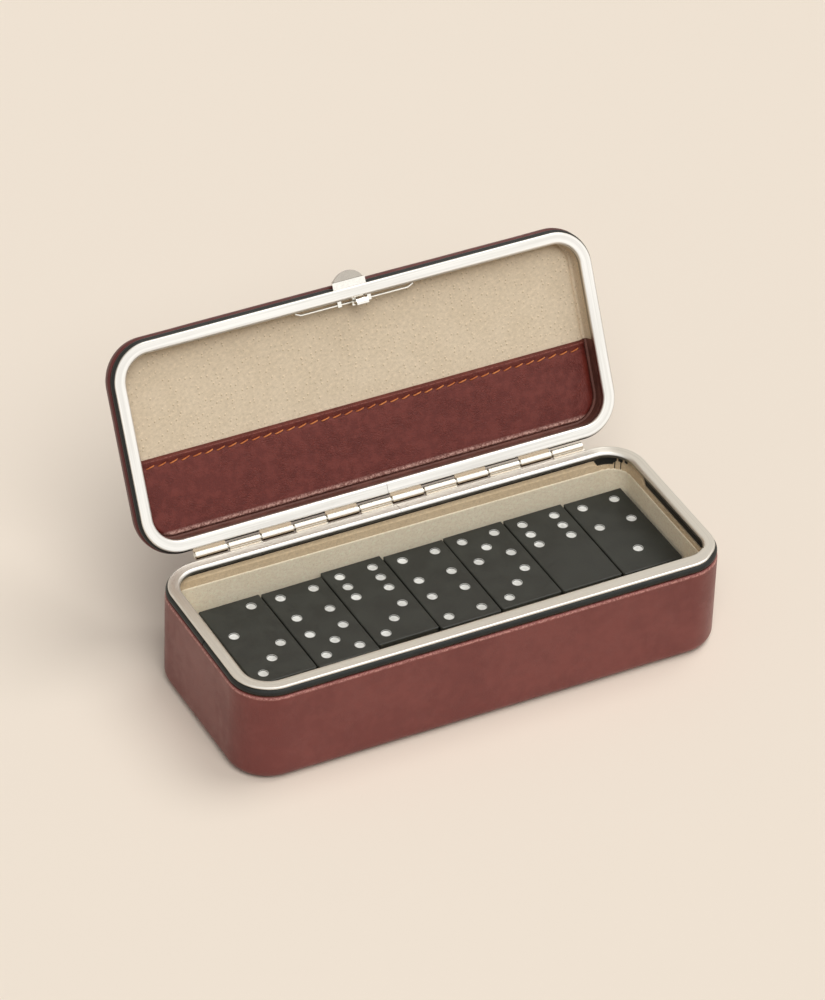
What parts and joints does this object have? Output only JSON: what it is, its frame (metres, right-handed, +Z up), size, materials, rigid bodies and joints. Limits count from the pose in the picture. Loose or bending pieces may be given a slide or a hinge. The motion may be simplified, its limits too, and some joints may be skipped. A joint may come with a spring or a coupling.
{
  "type": "domino storage box",
  "caption": "Leather-covered hinged case with metal rims, a push-button clasp and a suede-lined tray that holds a set of dominoes.",
  "frame": {"origin": "centre of the underside, on the surface the box stands on", "axes": "+X along the hinge, +Y towards the hinge side, +Z up"},
  "size_m": [0.157, 0.1019, 0.0951],
  "materials": {
    "covering_leather": "smooth burgundy calf with a soft sheen",
    "underside_leather": "matt burgundy leather",
    "pocket_leather": "grained burgundy leather with a soft sheen",
    "board": "moulded board, hidden",
    "piping": "glossy black piping",
    "nickel": "satin nickel plate with fine brushing",
    "bright_nickel": "polished nickel plate",
    "wire": "drawn steel wire",
    "suede": "tan pigskin suede",
    "lid_suede": "tan pigskin suede with follicle dots",
    "upper_suede": "darker tan suede",
    "tape": "black binding tape",
    "domino": "satin black with fine scratches",
    "pip_paint": "white paint in a drilled spot"
  },
  "bodies": {
    "base": {"base_core": "board", "base_leather": "covering_leather", "bottom_panel": "underside_leather", "base_piping": "piping", "base_rim": "nickel", "base_floor_lining": "suede", "base_wall_lining": "suede", "base_upper_lining": "upper_suede", "base_edge_tape": "tape", "base_hinge_leaf": "nickel", "hinge_pin": "wire", "catch_plate": "nickel", "domino_layer_1": "domino", "domino_layer_1_pips": "pip_paint", "domino_layer_2": "domino", "domino_layer_2_pips": "pip_paint", "domino_layer_3": "domino", "domino_layer_3_pips": "pip_paint"},
    "lid": {"lid_core": "board", "lid_leather": "covering_leather", "lid_piping": "piping", "lid_rim": "nickel", "lid_lining": "lid_suede", "lid_pocket": "pocket_leather", "lid_hinge_leaf": "nickel", "clasp_collar": "bright_nickel", "clasp_spring": "wire", "spring_clips": "bright_nickel"},
    "clasp": {"push_button": "bright_nickel", "button_stem": "wire", "latch_hook": "bright_nickel"},
    "domino_1": {"domino_1": "domino", "domino_1_pips": "pip_paint"},
    "domino_2": {"domino_2": "domino", "domino_2_pips": "pip_paint"},
    "domino_3": {"domino_3": "domino", "domino_3_pips": "pip_paint"},
    "domino_4": {"domino_4": "domino", "domino_4_pips": "pip_paint"},
    "domino_5": {"domino_5": "domino", "domino_5_pips": "pip_paint"},
    "domino_6": {"domino_6": "domino", "domino_6_pips": "pip_paint"},
    "domino_7": {"domino_7": "domino", "domino_7_pips": "pip_paint"}
  },
  "joints": [
    {"name": "lid_hinge", "type": "hinge", "parent": "base", "child": "lid", "pos_m": [0, 0.0332, 0.0335], "axis": [-1, 0, 0], "range_deg": [-116.85, 0]},
    {"name": "button_push", "type": "slide", "parent": "lid", "child": "clasp", "axis": [0, -0.4517, -0.8922], "range_m": [0, 0.0014], "stiffness_N_per_m": 150, "springref_m": -0.002, "deforming": ["clasp_spring"]},
    {"name": "domino_1_lift", "type": "slide", "parent": "base", "child": "domino_1", "axis": [0, 0, 1], "range_m": [0, 0.022]},
    {"name": "domino_2_lift", "type": "slide", "parent": "base", "child": "domino_2", "axis": [0, 0, 1], "range_m": [0, 0.022]},
    {"name": "domino_3_lift", "type": "slide", "parent": "base", "child": "domino_3", "axis": [0, 0, 1], "range_m": [0, 0.022]},
    {"name": "domino_4_lift", "type": "slide", "parent": "base", "child": "domino_4", "axis": [0, 0, 1], "range_m": [0, 0.022]},
    {"name": "domino_5_lift", "type": "slide", "parent": "base", "child": "domino_5", "axis": [0, 0, 1], "range_m": [0, 0.022]},
    {"name": "domino_6_lift", "type": "slide", "parent": "base", "child": "domino_6", "axis": [0, 0, 1], "range_m": [0, 0.022]},
    {"name": "domino_7_lift", "type": "slide", "parent": "base", "child": "domino_7", "axis": [0, -0.3714, 0.9285], "range_m": [0, 0.024]}
  ]
}
